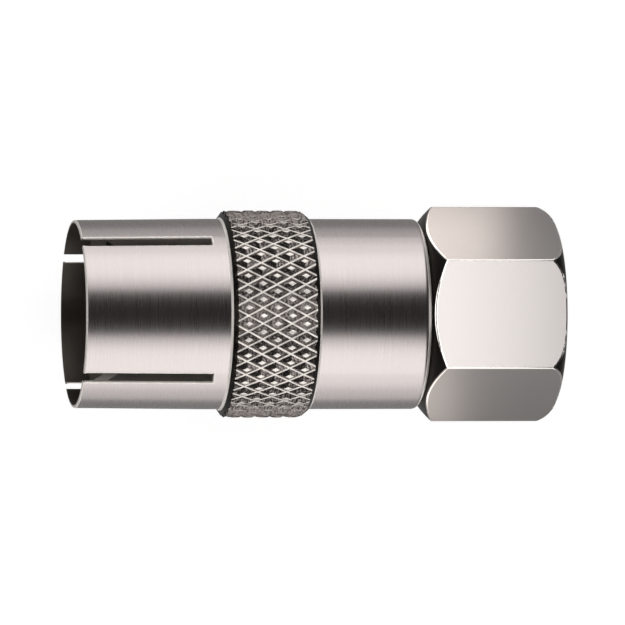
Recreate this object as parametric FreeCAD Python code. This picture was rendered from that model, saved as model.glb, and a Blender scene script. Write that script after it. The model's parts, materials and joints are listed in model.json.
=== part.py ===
"""Straight coaxial adapter: a 9.5 mm aerial socket at one end, a 3/8-32 screw-on plug at the other.

The common axis is +X. The socket opens towards -X with its mouth at x = 0, and the hexagon nut of the
plug is at the far end, one flat up and one flat down, as the adapter lies on a table. +Z is up.
Lengths are millimetres, angles are degrees, and a turn is measured round the axis from +Z to +Y.

One turned body carries everything: the slotted barrel, the knurled grip and the plain tail. A flanged
ferrule pressed into the tail traps the nut, which spins freely between the flange and the tail. Inside,
two plastic beads hold the centre conductor, a slotted spring socket with a turned pin pressed in it.
"""

import FreeCAD, Part
import math
import os

from FreeCAD import Vector

# Turned body, from the mouth of the socket to the shoulder at the nut
barrel_length = 8.65
grip_width = 5.13
tail_length = 6.62
socket_bore = 9.6
body_wall = 0.8
shoulder_round = 0.4
socket_depth = 10.0
web_thickness = 1.4
web_lip = 0.7

# Spring fingers of the barrel, made by two crossed slots and then set inwards. Both slots run a little
# off centre. Inside the mouth the wall is relieved, which leaves a thin rim.
slot_length = 7.73
slot_width = 0.65
slot_turns = (50.9, -40.05)
slot_offsets = (-0.1, -0.23)
finger_closing = 0.08
rim_wall = 0.16
mouth_round = 0.1
relief_depth = 1.5
relief_angle = 40.0

# Knurled grip: crossed grooves that leave blunt pyramids
grip_height = 0.5
knurl_count = 41
knurl_pitch = 1.71
knurl_depth = 0.34
knurl_tip_share = 0.24
knurl_turn = 3.2
grip_chamfer_length = 0.26
grip_chamfer_height = 0.36

# Hexagon nut
nut_length = 8.0
nut_across_flats = 11.0
nut_back_face_diameter = 10.64
nut_front_face_diameter = 11.1
nut_back_chamfer_angle = 38.0
nut_front_chamfer_angle = 45.0
nut_edge_round = 0.12
nut_back_wall = 1.5
nut_end_play = 0.1
nut_running_clearance = 0.15
thread_minor_diameter = 8.7
thread_undercut_diameter = 9.7
thread_undercut_past_flange = 0.3
thread_lead_in = 0.5

# Ferrule: a sleeve pressed into the tail, and the flange that holds the nut and meets the mating jack
sleeve_diameter = 7.2
sleeve_wall = 0.9
ferrule_lip = 0.5
ferrule_lip_length = 0.8
flange_diameter = 8.5
flange_thickness = 1.0
flange_edge_break = 0.15
sleeve_lead_in = 0.3

# Centre conductor
contact_diameter = 3.4
contact_bore = 2.4
contact_setback = 1.6
contact_bore_depth = 7.2
contact_slot_length = 5.6
contact_slot_width = 0.3
contact_slot_turn = 5.5
contact_saw_diameter = 40.0
contact_tip_round = 0.3
contact_lead_in = 0.25
stem_diameter = 2.4
stem_past_bead = 0.7
pin_root_diameter = 1.5
pin_diameter = 1.0
pin_seat_depth = 2.4
pin_setback = 0.3
pin_point_length = 0.5
pin_point_diameter = 0.4

# Plastic beads
socket_bead_thickness = 3.0
bead_edge_break = 0.2
plug_bead_recess = 0.1
dish_diameter = 6.6
dish_depth = 0.5
dish_wall = 0.7

# Places along the axis, worked out from the sizes above
grip_start = barrel_length
grip_end = grip_start + grip_width
body_end = grip_end + tail_length
bead_seat = socket_depth + socket_bead_thickness
sleeve_seat = bead_seat + web_thickness
nut_back = body_end + nut_end_play
nut_front = nut_back + nut_length
flange_back = nut_back + nut_back_wall + nut_end_play
flange_front = flange_back + flange_thickness
thread_start = flange_front + thread_undercut_past_flange
pin_start = bead_seat + stem_past_bead - pin_seat_depth
pin_end = nut_front - pin_setback
bead_front = flange_front - plug_bead_recess

# Radii that several pieces share
body_radius = socket_bore / 2 + body_wall
grip_radius = body_radius + grip_height
sleeve_radius = sleeve_diameter / 2
sleeve_bore_radius = sleeve_radius - sleeve_wall
lip_radius = sleeve_bore_radius - ferrule_lip


def at(x, radius, turn=0.0):
    """A point at a radius from the axis, on the line at that turn."""
    angle = math.radians(turn)
    return Vector(x, radius * math.sin(angle), radius * math.cos(angle))


def turned(profile):
    """Revolves a closed profile about the axis. A corner is (x, radius); (xm, rm, x, radius) is an arc
    that passes through (xm, rm) on its way from the corner before it to (x, radius)."""
    edges = []
    last = profile[-1][-2:]
    for step in profile:
        start, end = at(*last), at(*step[-2:])
        if len(step) == 4:
            edges.append(Part.Arc(start, at(*step[:2]), end).toShape())
        else:
            edges.append(Part.makeLine(start, end))
        last = step[-2:]
    face = Part.Face(Part.Wire(edges))
    return face.revolve(Vector(0, 0, 0), Vector(1, 0, 0), 360)


def quarter_round(x_centre, r_centre, radius, x_side, x_end, r_end):
    """The arc step that rounds an outer corner, bulging to x_side (-1 or +1) and away from the axis."""
    middle = radius * math.sqrt(0.5)
    return (x_centre + x_side * middle, r_centre + middle, x_end, r_end)


def saw_cut(slot_end, wall_radius, width, turn):
    """The disc that a slitting saw sweeps clear: it ends at slot_end where it crosses wall_radius."""
    radius = contact_saw_diameter / 2
    centre_x = slot_end - math.sqrt(radius**2 - wall_radius**2)
    across = at(0, 1, turn + 90)
    return Part.makeCylinder(radius, width, Vector(centre_x, 0, 0) - across * (width / 2), across)


def barrel_slot(turn, offset):
    """A square-ended slot through both walls of the barrel, beside the axis by its offset."""
    half_height = body_radius + 1
    corner = Vector(-1, offset - slot_width / 2, -half_height)
    slot = Part.makeBox(slot_length + 1, slot_width, 2 * half_height, corner)
    slot.rotate(Vector(0, 0, 0), Vector(1, 0, 0), -turn)
    return slot


def knurled_bar():
    """A solid bar, longer than the grip, whose surface is rows of blunt four-sided pyramids. Odd rows
    stand half a pitch round from even rows, so the grooves between them run in two crossed helices."""
    row_gap = knurl_pitch / 2
    half_turn = 180.0 / knurl_count
    tip_radius = grip_radius
    root_radius = tip_radius - knurl_depth
    gaps_each_side = math.ceil(grip_width / 2 / row_gap + 0.5)
    rows = range(-gaps_each_side, gaps_each_side + 1)
    middle = (grip_start + grip_end) / 2
    points, places, facets = [], {}, []

    def point(x, radius, turn):
        key = (round(x, 6), round(radius, 6), round(turn % 360.0, 6) % 360.0)
        if key not in places:
            places[key] = len(points)
            points.append(at(x, radius, turn))
        return places[key]

    def half_pyramid(x, turn, side):
        """The half of a pyramid on one side (-1 or +1) of its row, as five facets."""
        corner = point(x + side * row_gap, root_radius, turn)
        tip = point(x + side * row_gap * knurl_tip_share, tip_radius, turn)
        low = point(x, root_radius, turn - half_turn)
        high = point(x, root_radius, turn + half_turn)
        tip_low = point(x, tip_radius, turn - half_turn * knurl_tip_share)
        tip_high = point(x, tip_radius, turn + half_turn * knurl_tip_share)
        shell = [(corner, low, tip), (low, tip_low, tip), (tip, tip_low, tip_high)]
        shell += [(tip, tip_high, high), (tip, high, corner)]
        facets.extend(shell if side > 0 else [facet[::-1] for facet in shell])
        return low, tip_low, tip_high

    for row in rows:
        x = middle + row * row_gap
        rim = []
        for tooth in range(knurl_count):
            turn = knurl_turn + half_turn * (2 * tooth + row % 2)
            for side in (-1, 1):
                if row + side in rows:
                    edge = half_pyramid(x, turn, side)
            rim.extend(edge)
        if row in (rows[0], rows[-1]):
            centre = len(points)
            points.append(at(x, 0))
            for near, far in zip(rim, rim[1:] + rim[:1]):
                facets.append((centre, far, near) if row < 0 else (centre, near, far))
    shape = Part.Shape()
    shape.makeShapeFromMesh((points, facets), 0.0001)
    return Part.makeSolid(shape)


def grip():
    """The knurled bar, turned down to the grip's width and chamfers, and bored out inside the wall."""
    core = socket_bore / 2 + body_wall / 2
    rim = grip_radius
    side = rim - grip_chamfer_height
    outline = [
        (grip_start, core),
        (grip_start, side),
        (grip_start + grip_chamfer_length, rim),
        (grip_end - grip_chamfer_length, rim),
        (grip_end, side),
        (grip_end, core),
    ]
    return knurled_bar().common(turned(outline))


def outer_body():
    """The turned body: slotted barrel, grip and tail in one piece."""
    mouth_radius = body_radius - finger_closing
    mouth_bore = socket_bore / 2 - finger_closing
    face_radius = mouth_radius - mouth_round
    relief_radius = mouth_radius - rim_wall
    relief_end = relief_depth + (relief_radius - mouth_bore) / math.tan(math.radians(relief_angle))
    shoulder_start = body_end - shoulder_round
    shoulder_radius = body_radius - shoulder_round
    outline = [
        (0, relief_radius),
        (0, face_radius),
        quarter_round(mouth_round, face_radius, mouth_round, -1, mouth_round, mouth_radius),
        (slot_length, body_radius),
        (shoulder_start, body_radius),
        quarter_round(shoulder_start, shoulder_radius, shoulder_round, 1, body_end, shoulder_radius),
        (body_end, sleeve_radius),
        (sleeve_seat, sleeve_radius),
        (sleeve_seat, sleeve_radius - web_lip),
        (bead_seat, sleeve_radius - web_lip),
        (bead_seat, socket_bore / 2),
        (slot_length, socket_bore / 2),
        (relief_end, mouth_bore),
        (relief_depth, relief_radius),
    ]
    blank = turned(outline).fuse(grip()).removeSplitter()
    return blank.cut([barrel_slot(turn, offset) for turn, offset in zip(slot_turns, slot_offsets)])


def coupling_nut():
    """The hexagon nut: prism, end chamfers, and the stepped hole that holds the flange and the thread."""
    corner_radius = nut_across_flats / math.sqrt(3)
    corners = [at(nut_back, corner_radius, 30 + 60 * k) for k in range(6)]
    hexagon = Part.Face(Part.makePolygon(corners + corners[:1]))
    prism = hexagon.extrude(Vector(nut_length, 0, 0))
    long_edges = [e for e in prism.Edges if abs(e.tangentAt(e.FirstParameter).x) > 0.99]
    prism = prism.makeFillet(nut_edge_round, long_edges)
    back_radius = nut_back_face_diameter / 2
    front_radius = nut_front_face_diameter / 2
    reach = corner_radius + nut_edge_round
    back = (reach - back_radius) * math.tan(math.radians(nut_back_chamfer_angle))
    front = (reach - front_radius) * math.tan(math.radians(nut_front_chamfer_angle))
    envelope = turned([
        (nut_back, 0),
        (nut_back, back_radius),
        (nut_back + back, reach),
        (nut_front - front, reach),
        (nut_front, front_radius),
        (nut_front, 0),
    ])
    neck_radius = sleeve_radius + nut_running_clearance
    thread_radius = thread_minor_diameter / 2
    undercut_radius = thread_undercut_diameter / 2
    seat = nut_back + nut_back_wall
    hole = turned([
        (nut_back - nut_end_play, 0),
        (nut_back - nut_end_play, neck_radius),
        (seat, neck_radius),
        (seat, undercut_radius),
        (thread_start, undercut_radius),
        (thread_start, thread_radius),
        (nut_front - thread_lead_in, thread_radius),
        (nut_front, thread_radius + thread_lead_in),
        (nut_front + nut_end_play, thread_radius + thread_lead_in),
        (nut_front + nut_end_play, 0),
    ])
    return prism.common(envelope).cut(hole)


def ferrule():
    """Sleeve and flange in one turned piece. Its front face is the plug's contact face."""
    flange = flange_diameter / 2
    return turned([
        (sleeve_seat, sleeve_bore_radius),
        (sleeve_seat, sleeve_radius - sleeve_lead_in),
        (sleeve_seat + sleeve_lead_in, sleeve_radius),
        (flange_back, sleeve_radius),
        (flange_back, flange - flange_edge_break),
        (flange_back + flange_edge_break, flange),
        (flange_front - flange_edge_break, flange),
        (flange_front, flange - flange_edge_break),
        (flange_front, lip_radius),
        (flange_front - ferrule_lip_length, lip_radius),
        (flange_front - ferrule_lip_length, sleeve_bore_radius),
    ])


def socket_contact():
    """The spring socket that takes the mating plug's pin, with a stem that is drilled for the pin."""
    outer = contact_diameter / 2
    bore = contact_bore / 2
    stem = stem_diameter / 2
    pin = pin_root_diameter / 2
    stem_end = bead_seat + stem_past_bead
    tip = contact_setback
    bore_end = tip + contact_bore_depth
    round_end = tip + contact_tip_round
    rounded = quarter_round(round_end, outer - contact_tip_round, contact_tip_round, -1, round_end, outer)
    body = turned([
        (tip, bore + contact_lead_in),
        (tip, outer - contact_tip_round),
        rounded,
        (socket_depth, outer),
        (socket_depth, stem),
        (stem_end, stem),
        (stem_end, pin),
        (pin_start, pin),
        (pin_start, 0),
        (bore_end, 0),
        (bore_end, bore),
        (tip + contact_lead_in, bore),
    ])
    turns = (contact_slot_turn, contact_slot_turn + 90)
    slot_end = tip + contact_slot_length
    return body.cut([saw_cut(slot_end, outer, contact_slot_width, turn) for turn in turns])


def centre_pin():
    """The turned pin: a thicker root pressed into the stem and held by the bead, and a pointed end."""
    radius = pin_diameter / 2
    return turned([
        (pin_start, 0),
        (pin_start, pin_root_diameter / 2),
        (bead_front, pin_root_diameter / 2),
        (bead_front, radius),
        (pin_end - pin_point_length, radius),
        (pin_end, pin_point_diameter / 2),
        (pin_end, 0),
    ])


def socket_bead():
    """The disc that centres the contact. Its front is dished between a rim and the contact's seat."""
    outer = socket_bore / 2
    stem = stem_diameter / 2
    seat = contact_diameter / 2 + dish_wall
    dish = dish_diameter / 2
    return turned([
        (socket_depth, stem),
        (socket_depth, seat),
        (socket_depth + dish_depth, seat),
        (socket_depth + dish_depth, dish),
        (socket_depth, dish),
        (socket_depth, outer - bead_edge_break),
        (socket_depth + bead_edge_break, outer),
        (bead_seat, outer),
        (bead_seat, stem),
    ])


def plug_bead():
    """The long bead in the ferrule, stepped so that its nose fills the lip round the pin."""
    pin = pin_root_diameter / 2
    step = flange_front - ferrule_lip_length
    return turned([
        (sleeve_seat, pin),
        (sleeve_seat, sleeve_bore_radius),
        (step, sleeve_bore_radius),
        (step, lip_radius),
        (bead_front, lip_radius),
        (bead_front, pin),
    ])


def main():
    os.makedirs("parts", exist_ok=True)
    for make in (outer_body, coupling_nut, ferrule, socket_contact, centre_pin, socket_bead, plug_bead):
        shape = make()
        name = make.__name__
        shape.exportStep(f"parts/{name}.step")
        print(name, "solids", len(shape.Solids), "valid", shape.isValid(), "mm3", round(shape.Volume, 3))


main()
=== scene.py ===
"""Dresses the coaxial adapter: turned nickel body, knurled grip, hexagon nut, contact, pin and beads.

The common axis is +X, the aerial socket opens towards -X with its mouth at x = 0, and +Z is up. A turn is
measured round the axis from +Z to +Y. Profiles are lists of (x, radius) in millimetres.
"""

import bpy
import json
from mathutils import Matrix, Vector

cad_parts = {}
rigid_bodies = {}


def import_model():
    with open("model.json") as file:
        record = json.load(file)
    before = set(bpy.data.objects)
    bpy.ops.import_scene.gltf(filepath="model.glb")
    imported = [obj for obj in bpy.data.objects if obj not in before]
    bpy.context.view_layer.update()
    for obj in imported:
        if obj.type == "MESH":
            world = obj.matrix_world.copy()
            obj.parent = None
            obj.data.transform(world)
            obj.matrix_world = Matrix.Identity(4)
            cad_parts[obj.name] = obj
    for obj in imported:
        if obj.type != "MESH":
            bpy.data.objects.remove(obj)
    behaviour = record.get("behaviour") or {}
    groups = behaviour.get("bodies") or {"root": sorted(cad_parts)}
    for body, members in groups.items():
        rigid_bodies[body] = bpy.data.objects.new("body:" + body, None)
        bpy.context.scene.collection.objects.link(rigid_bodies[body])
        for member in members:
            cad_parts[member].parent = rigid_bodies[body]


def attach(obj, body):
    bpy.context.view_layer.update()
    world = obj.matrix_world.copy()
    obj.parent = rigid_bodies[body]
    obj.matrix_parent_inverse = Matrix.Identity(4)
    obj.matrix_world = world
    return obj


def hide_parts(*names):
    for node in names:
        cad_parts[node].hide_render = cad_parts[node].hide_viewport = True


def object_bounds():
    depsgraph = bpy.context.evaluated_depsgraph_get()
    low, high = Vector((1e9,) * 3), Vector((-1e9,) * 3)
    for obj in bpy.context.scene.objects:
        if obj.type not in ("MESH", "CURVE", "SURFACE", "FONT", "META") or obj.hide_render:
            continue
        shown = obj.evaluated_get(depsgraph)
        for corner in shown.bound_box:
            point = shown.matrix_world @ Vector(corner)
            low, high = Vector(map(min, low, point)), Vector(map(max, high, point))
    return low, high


bl_info = {
    "name": "Coaxial Adapter",
    "version": (1, 0, 0),
    "blender": (4, 5, 0),
    "location": "3D View > Sidebar > Adapter",
    "description": "Builds the visible pieces of a turned coaxial adapter and the studio round it",
    "category": "Object",
}

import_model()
cad_low, cad_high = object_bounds()

import json
import math

import bmesh
import bpy
from bpy.props import FloatProperty, FloatVectorProperty, IntProperty, PointerProperty
from mathutils import Vector

MM = 0.001

# Index of each finish in a piece's material slots. The second is a pale painted highlight on edges, ridges
# and corners; SHADOW and BORE hold painted shade.
PLATING, PAINTED_HIGHLIGHT, SHADOW, BORE, SAWN = 0, 1, 2, 3, 4

# Points on the rounding of a slot's edge, as shares of its width from the outside in
EDGE_SHARES = (1.0, 0.65, 0.3)

# Columns of faces round a turned piece
AROUND = 192

# Degrees between faces from which an edge is sharp, on turned pieces and on cut ones
SHARP_TURNED, SHARP_CUT = 28.0, 24.0


# Sizes and colours that a user would change

def linear(hex_colour):
    """An sRGB hex colour such as "#8A8480" as linear RGBA."""
    values = [int(hex_colour[i:i + 2], 16) / 255 for i in (1, 3, 5)]
    return tuple(v / 12.92 if v <= 0.04045 else ((v + 0.055) / 1.055) ** 2.4 for v in values) + (1.0,)


def length(name, description, default):
    return FloatProperty(name=name, description=description, default=default, min=0.0, precision=3)


def fraction(name, description, default):
    return FloatProperty(
        name=name, description=description, default=default, min=0.0, max=1.0, subtype="FACTOR")


def angle(name, description, degrees):
    return FloatProperty(
        name=name, description=description, default=math.radians(degrees), subtype="ANGLE")


def colour(name, description, hex_colour):
    return FloatVectorProperty(
        name=name, description=description, default=linear(hex_colour), size=4, subtype="COLOR")


class BodySizes(bpy.types.PropertyGroup):
    """Sizes of the turned body, in millimetres"""
    barrel_length: length("Barrel length", "From the mouth to the grip, mm", 8.65)
    grip_width: length("Grip width", "Width of the knurled grip, mm", 5.13)
    body_end: length("Body end", "Where the tail ends, mm from the mouth", 20.45)
    body_radius: length("Body radius", "Outer radius of barrel and tail, mm", 5.6)
    bore_radius: length("Bore radius", "Radius of the socket's bore, mm", 4.8)
    web_bore: length("Web bore", "Radius of the hole between the bead and the ferrule, mm", 2.9)
    finger_closing: length("Finger closing", "How far the finger tips are set inwards, mm", 0.08)
    mouth_round: length("Mouth round", "Rounding of the mouth's outer edge, mm", 0.1)
    rim_wall: length("Rim wall", "Wall at the mouth, mm", 0.16)
    relief_depth: length("Relief depth", "Depth of the relief inside the mouth, mm", 1.5)
    slot_length: length("Slot length", "Length of the slots, mm", 7.67)
    slot_width: length("Slot width", "Width of the slots, mm", 0.65)
    slot_edge: length("Slot edge", "Rounding along the slots' edges, mm", 0.1)
    shoulder_round: length("Shoulder round", "Rounding at the tail's end, mm", 0.4)


class KnurlSizes(bpy.types.PropertyGroup):
    """Sizes of the knurl and of the grip's ends"""
    teeth: IntProperty(name="Teeth", description="Pyramids in a row round the grip", default=40, min=12)
    pitch: length("Pitch", "Axial distance between like rows, mm", 1.71)
    depth: length("Depth", "Height of a pyramid, mm", 0.22)
    tip_share: fraction("Tip share", "Width of a blunt tip as a share of a pyramid", 0.25)
    groove_share: fraction("Groove share", "Width of a rounded groove as a share of a pyramid", 0.13)
    grip_radius: length("Grip radius", "Radius over the tips, mm", 6.1)
    turn: angle("Turn", "Turn of the middle row", 3.58)
    chamfer_depth: length("Chamfer depth", "How far down both chamfers go, mm", 0.36)
    barrel_chamfer: length("Barrel side chamfer", "Length of the chamfer by the barrel, mm", 0.26)
    tail_chamfer: length("Tail side chamfer", "Length of the chamfer by the tail, mm", 0.42)
    # The tail side margin is the width of painted shade on the knurl by the tail
    tail_margin: length("Tail side margin", "Width of the dull finish by the tail, mm", 0.2)


class NutSizes(bpy.types.PropertyGroup):
    """Sizes of the coupling nut, in millimetres"""
    back: length("Back", "Where the nut's back face is, mm from the mouth", 20.5)
    length: length("Length", "Length of the nut, mm", 8.0)
    across_flats: length("Across flats", "Size of the hexagon, mm", 11.0)
    back_radius: length("Back face radius", "Radius of the back face, mm", 5.32)
    front_radius: length("Front face radius", "Radius where the front chamfer begins, mm", 5.4)
    back_angle: angle("Back chamfer", "Angle of the back chamfer", 38.0)
    front_angle: angle("Front chamfer", "Mean angle of the front chamfer", 43.8)
    front_crown: fraction("Front crown", "How crowned the front chamfer is, from 0 for a cone to 1", 0.69)
    edge_width: length("Edge width", "Width of the broken edges, mm", 0.07)
    thread_pitch: length("Thread pitch", "32 turns to the inch, mm", 25.4 / 32)
    thread_minor_radius: length("Thread minor radius", "Radius at the thread's crests, mm", 4.35)
    thread_major_radius: length("Thread major radius", "Radius at the thread's roots, mm", 4.7625)
    thread_start: length("Thread start", "Where the undercut ends, mm from the mouth", 23.4)
    lead_in: length("Lead-in", "Chamfer where the thread begins, mm", 0.5)
    undercut_radius: length("Undercut radius", "Radius of the undercut behind the thread, mm", 4.85)
    neck_radius: length("Neck radius", "Radius of the hole round the ferrule, mm", 3.75)
    seat: length("Seat", "Where the flange bears, mm from the mouth", 22.0)


class InsideSizes(bpy.types.PropertyGroup):
    """Sizes of the ferrule, the contact, the pin and the two beads, in millimetres"""
    socket_bead_start: length("Socket bead start", "Front of the socket's bead, mm from the mouth", 10.0)
    socket_bead_end: length("Socket bead end", "Back of the socket's bead, mm from the mouth", 13.0)
    socket_bead_radius: length("Socket bead radius", "Radius of the socket's bead, mm", 4.8)
    ferrule_start: length("Ferrule start", "Where the ferrule begins, mm from the mouth", 14.4)
    ferrule_end: length("Ferrule end", "Where the ferrule ends, mm from the mouth", 23.1)
    ferrule_radius: length("Ferrule radius", "Outer radius of the ferrule, mm", 3.6)
    ferrule_bore: length("Ferrule bore", "Radius of the ferrule's bore, mm", 2.7)
    lip_bore: length("Lip bore", "Radius of the bore at the ferrule's lip, mm", 2.2)
    flange_start: length("Flange start", "Where the flange begins, mm from the mouth", 22.1)
    flange_radius: length("Flange radius", "Radius of the ferrule's flange, mm", 4.25)
    stem_start: length("Stem start", "Where the pin's stem begins, mm from the mouth", 11.3)
    stem_radius: length("Stem radius", "Radius of the pin inside the beads, mm", 0.75)
    pin_radius: length("Pin radius", "Radius of the pin in the plug, mm", 0.5)
    pin_end: length("Pin end", "Tip of the pin, mm from the mouth", 28.2)
    contact_start: length("Contact start", "Front of the contact, mm from the mouth", 1.6)
    contact_end: length("Contact end", "Back of the contact, mm from the mouth", 13.7)
    contact_radius: length("Contact radius", "Outer radius of the contact, mm", 1.7)
    contact_bore: length("Contact bore", "Radius of the contact's bore, mm", 1.2)
    contact_bore_end: length("Contact bore end", "Where the contact's bore ends, mm from the mouth", 8.8)
    contact_slot_end: length("Contact slot end", "Where the contact's slots end, mm from the mouth", 7.2)
    contact_slot_width: length("Contact slot width", "Width of the contact's slots, mm", 0.3)


class FinishColours(bpy.types.PropertyGroup):
    """Colours of the finishes"""
    plating: colour("Plating", "Satin nickel", "#BDB5B3")
    flats: colour("Flats", "Satin nickel on the nut", "#A5A09E")
    # Painted shade: the knurl's flanks are given a darker nickel
    pressed: colour("Pressed", "Nickel on the knurl's flanks", "#7C7572")
    # Painted highlight: the pale colour of edges, standing in for light caught on them
    edge: colour("Edge", "Burnished edges", "#FFFAF5")
    # Painted highlight: the pale colour of the knurl's tips and grooves
    ridge: colour("Ridge", "Worn tips and grooves of the knurl", "#D4CEC8")
    # Painted highlight: the pale colour on the rounded borders of the nut's flats
    corner: colour("Corner", "Burnished corners of the nut", "#E4DFDA")
    # Painted shade: the near-black colour of chamfers, grooves and the knurl's ends
    shadow: colour("Dull plating", "Thin dark plating in grooves and on chamfers", "#2C2825")
    # Painted shade: the darker grey of the bores and inner faces
    bore: colour("Bore plating", "Thin dull plating in the bores", "#746D67")
    sawn: colour("Sawn faces", "Plating on the slots' faces", "#A6A09C")
    plastic: colour("Insulator", "Natural white insulator", "#E8E6DF")
    contact: colour("Contact", "Plated spring bronze", "#CFC6B8")


# Materials

def add_node(tree, kind, settings=None, **sockets):
    """Adds a node. A socket's value is a constant, or (node, output) to link from. A socket is called by its
    name with underscores, or n0, n1 and so on by its place."""
    node = tree.nodes.new(kind)
    for name, value in (settings or {}).items():
        setattr(node, name, value)
    for name, value in sockets.items():
        numbered = name[0] == "n" and name[1:].isdigit()
        socket = node.inputs[int(name[1:]) if numbered else name.replace("_", " ")]
        if isinstance(value, tuple) and len(value) == 2 and isinstance(value[0], bpy.types.Node):
            tree.links.new(value[0].outputs[value[1]], socket)
        else:
            socket.default_value = value
    return node


def new_material(name):
    material = bpy.data.materials.new(name)
    material.use_nodes = True
    material.node_tree.nodes.clear()
    return material, material.node_tree


def finish_material(tree, shader):
    output = tree.nodes.new("ShaderNodeOutputMaterial")
    tree.links.new(shader.outputs[0], output.inputs["Surface"])


def uneven(tree, noise, roughness, spread):
    """A roughness that a noise moves up and down by that spread. A noise mostly lies from low to high."""
    low, high = 0.3, 0.7
    node = add_node(
        tree, "ShaderNodeMapRange", Value=(noise, "Fac"), From_Min=low, From_Max=high,
        To_Min=roughness - spread, To_Max=roughness + spread)
    return node, "Result"


def turned_nickel(name, base, roughness, mark_height):
    """Satin nickel over turned brass. The tool leaves fine rings round the axis, which draw faint streaks
    across the highlights. Real marks are about 0.02 mm wide, and here they are as coarse as the picture
    can show."""
    mark_width, mark_length, spread = 1 / 14, 25 / 3, 0.015
    material, tree = new_material(name)
    place = add_node(tree, "ShaderNodeTexCoord")
    rings = add_node(
        tree, "ShaderNodeMapping", Vector=(place, "Object"),
        Scale=(1 / mark_width, 1 / mark_length, 1 / mark_length))
    marks = add_node(
        tree, "ShaderNodeTexNoise", Vector=(rings, "Vector"), Scale=1 / MM, Detail=2.0, Roughness=0.6)
    bump = add_node(tree, "ShaderNodeBump", Height=(marks, "Fac"), Distance=mark_height * MM, Strength=1.0)
    shader = add_node(
        tree, "ShaderNodeBsdfPrincipled", Base_Color=tuple(base), Metallic=1.0,
        Roughness=uneven(tree, marks, roughness, spread), Normal=(bump, "Normal"))
    finish_material(tree, shader)
    return material


def plain_metal(name, base, roughness, grain=0.11, height=0.0):
    """Plated metal whose grain, a size and a height in mm, makes it a little uneven in gloss and level."""
    spread = 0.04
    material, tree = new_material(name)
    place = add_node(tree, "ShaderNodeTexCoord")
    cloud = add_node(
        tree, "ShaderNodeTexNoise", Vector=(place, "Object"), Scale=1 / (grain * MM), Detail=1.0)
    shader = add_node(
        tree, "ShaderNodeBsdfPrincipled", Base_Color=tuple(base), Metallic=1.0,
        Roughness=uneven(tree, cloud, roughness, spread))
    if height:
        bump = add_node(tree, "ShaderNodeBump", Height=(cloud, "Fac"), Distance=height * MM, Strength=1.0)
        tree.links.new(bump.outputs["Normal"], shader.inputs["Normal"])
    finish_material(tree, shader)
    return material


def insulator(name, base):
    """Moulded plastic that lets light pass just under its skin."""
    material, tree = new_material(name)
    shader = add_node(
        tree, "ShaderNodeBsdfPrincipled", Base_Color=tuple(base), Roughness=0.45, Subsurface_Weight=0.25,
        Subsurface_Scale=0.8 * MM)
    finish_material(tree, shader)
    return material


def finishes(scene, *names):
    """The materials of those names. Each is made the first time it's asked for."""
    c = scene.adapter_colours
    recipes = {
        # Nickel on turned brass: bright bands along the piece, finely streaked round it
        "satin_nickel_turned": (turned_nickel, c.plating, 0.28, 0.000014),
        # Nickel on edges, pale and rough so that it is bright from every side: a painted highlight, a pale
        # line without a clear reflection
        "burnished_nickel_edge": (plain_metal, c.edge, 0.7),
        # Near-black nickel in grooves and on chamfers: painted shade beside the bright faces
        "dull_nickel": (plain_metal, c.shadow, 0.32),
        # Nickel in the bores, darker than the outside: a painted shade, a dull grey that falls off with
        # depth
        "bore_nickel": (plain_metal, c.bore, 0.4),
        # Nickel on sawn faces: a rough grey without highlights
        "sawn_nickel": (plain_metal, c.sawn, 0.7),
        # Nickel on the knurl's flanks, darker than the plain plating: a painted shade, with small uneven
        # glints
        "satin_nickel_pressed": (plain_metal, c.pressed, 0.26, 0.18, 0.04),
        # Pale nickel on the knurl's tips and in its grooves: a painted highlight, a pale net of lines
        "burnished_nickel_ridge": (plain_metal, c.ridge, 0.38, 0.25, 0.012),
        # Nickel on milled flats: broad soft reflections with a faint grain
        "satin_nickel_milled": (plain_metal, c.flats, 0.36, 0.11, 0.0009),
        # Pale nickel on the rounded borders of the nut's flats: a painted highlight, thin clear lines of
        # light
        "burnished_nickel_corner": (plain_metal, c.corner, 0.2),
        # Plated spring bronze, turned smooth: warmer and clearer than the nickel
        "contact_plating": (plain_metal, c.contact, 0.25),
        # Natural moulded polyethylene: milky and a little waxy
        "polyethylene": (insulator, c.plastic),
    }
    made = []
    for name in names:
        make, *values = recipes[name]
        made.append(bpy.data.materials.get(name) or make(name, *values))
    return made


def body_finishes(scene):
    return finishes(
        scene, "satin_nickel_turned", "burnished_nickel_edge", "dull_nickel", "bore_nickel", "sawn_nickel")


def knurl_finishes(scene):
    return finishes(scene, "satin_nickel_pressed", "burnished_nickel_ridge", "dull_nickel", "bore_nickel")


def nut_finishes(scene):
    return finishes(scene, "satin_nickel_milled", "burnished_nickel_corner", "dull_nickel", "bore_nickel")


# Profiles, and the points and faces that they give

def arc(x_centre, r_centre, radius, start, end, steps):
    """Points of an arc about (x_centre, r_centre), from start to end in degrees (0 is +x, 90 is out)."""
    turns = [math.radians(start + (end - start) * step / steps) for step in range(steps + 1)]
    return [(x_centre + radius * math.cos(t), r_centre + radius * math.sin(t)) for t in turns]


def joined(stretches):
    """A profile and its marks, which hold the finish from each point to the next, from stretches of
    (points, finish)."""
    profile = [point for points, finish in stretches for point in points]
    marks = [finish for points, finish in stretches for point in points]
    return profile, marks


def revolve(profile, marks=None, around=AROUND):
    """Turns a closed profile round the axis."""
    points = []
    for column in range(around):
        turn = 2 * math.pi * column / around
        points += [(x, radius * math.sin(turn), radius * math.cos(turn)) for x, radius in profile]
    count = len(profile)
    faces = []
    for j in range(around):
        k = (j + 1) % around
        for i in range(count):
            n = (i + 1) % count
            finish = marks[i] if marks else PLATING
            faces.append((finish, (j * count + i, k * count + i, k * count + n, j * count + n)))
    return points, faces


def turn_beside(opening, side, radius):
    """The turn at which a line along an opening, that far to its side, meets that radius. Within the least
    radius it keeps its turn, so that it can end on the axis."""
    turn, offset = opening
    least_radius = 1.0
    return math.radians(turn) + math.asin((offset + side) / max(radius, least_radius))


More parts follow.
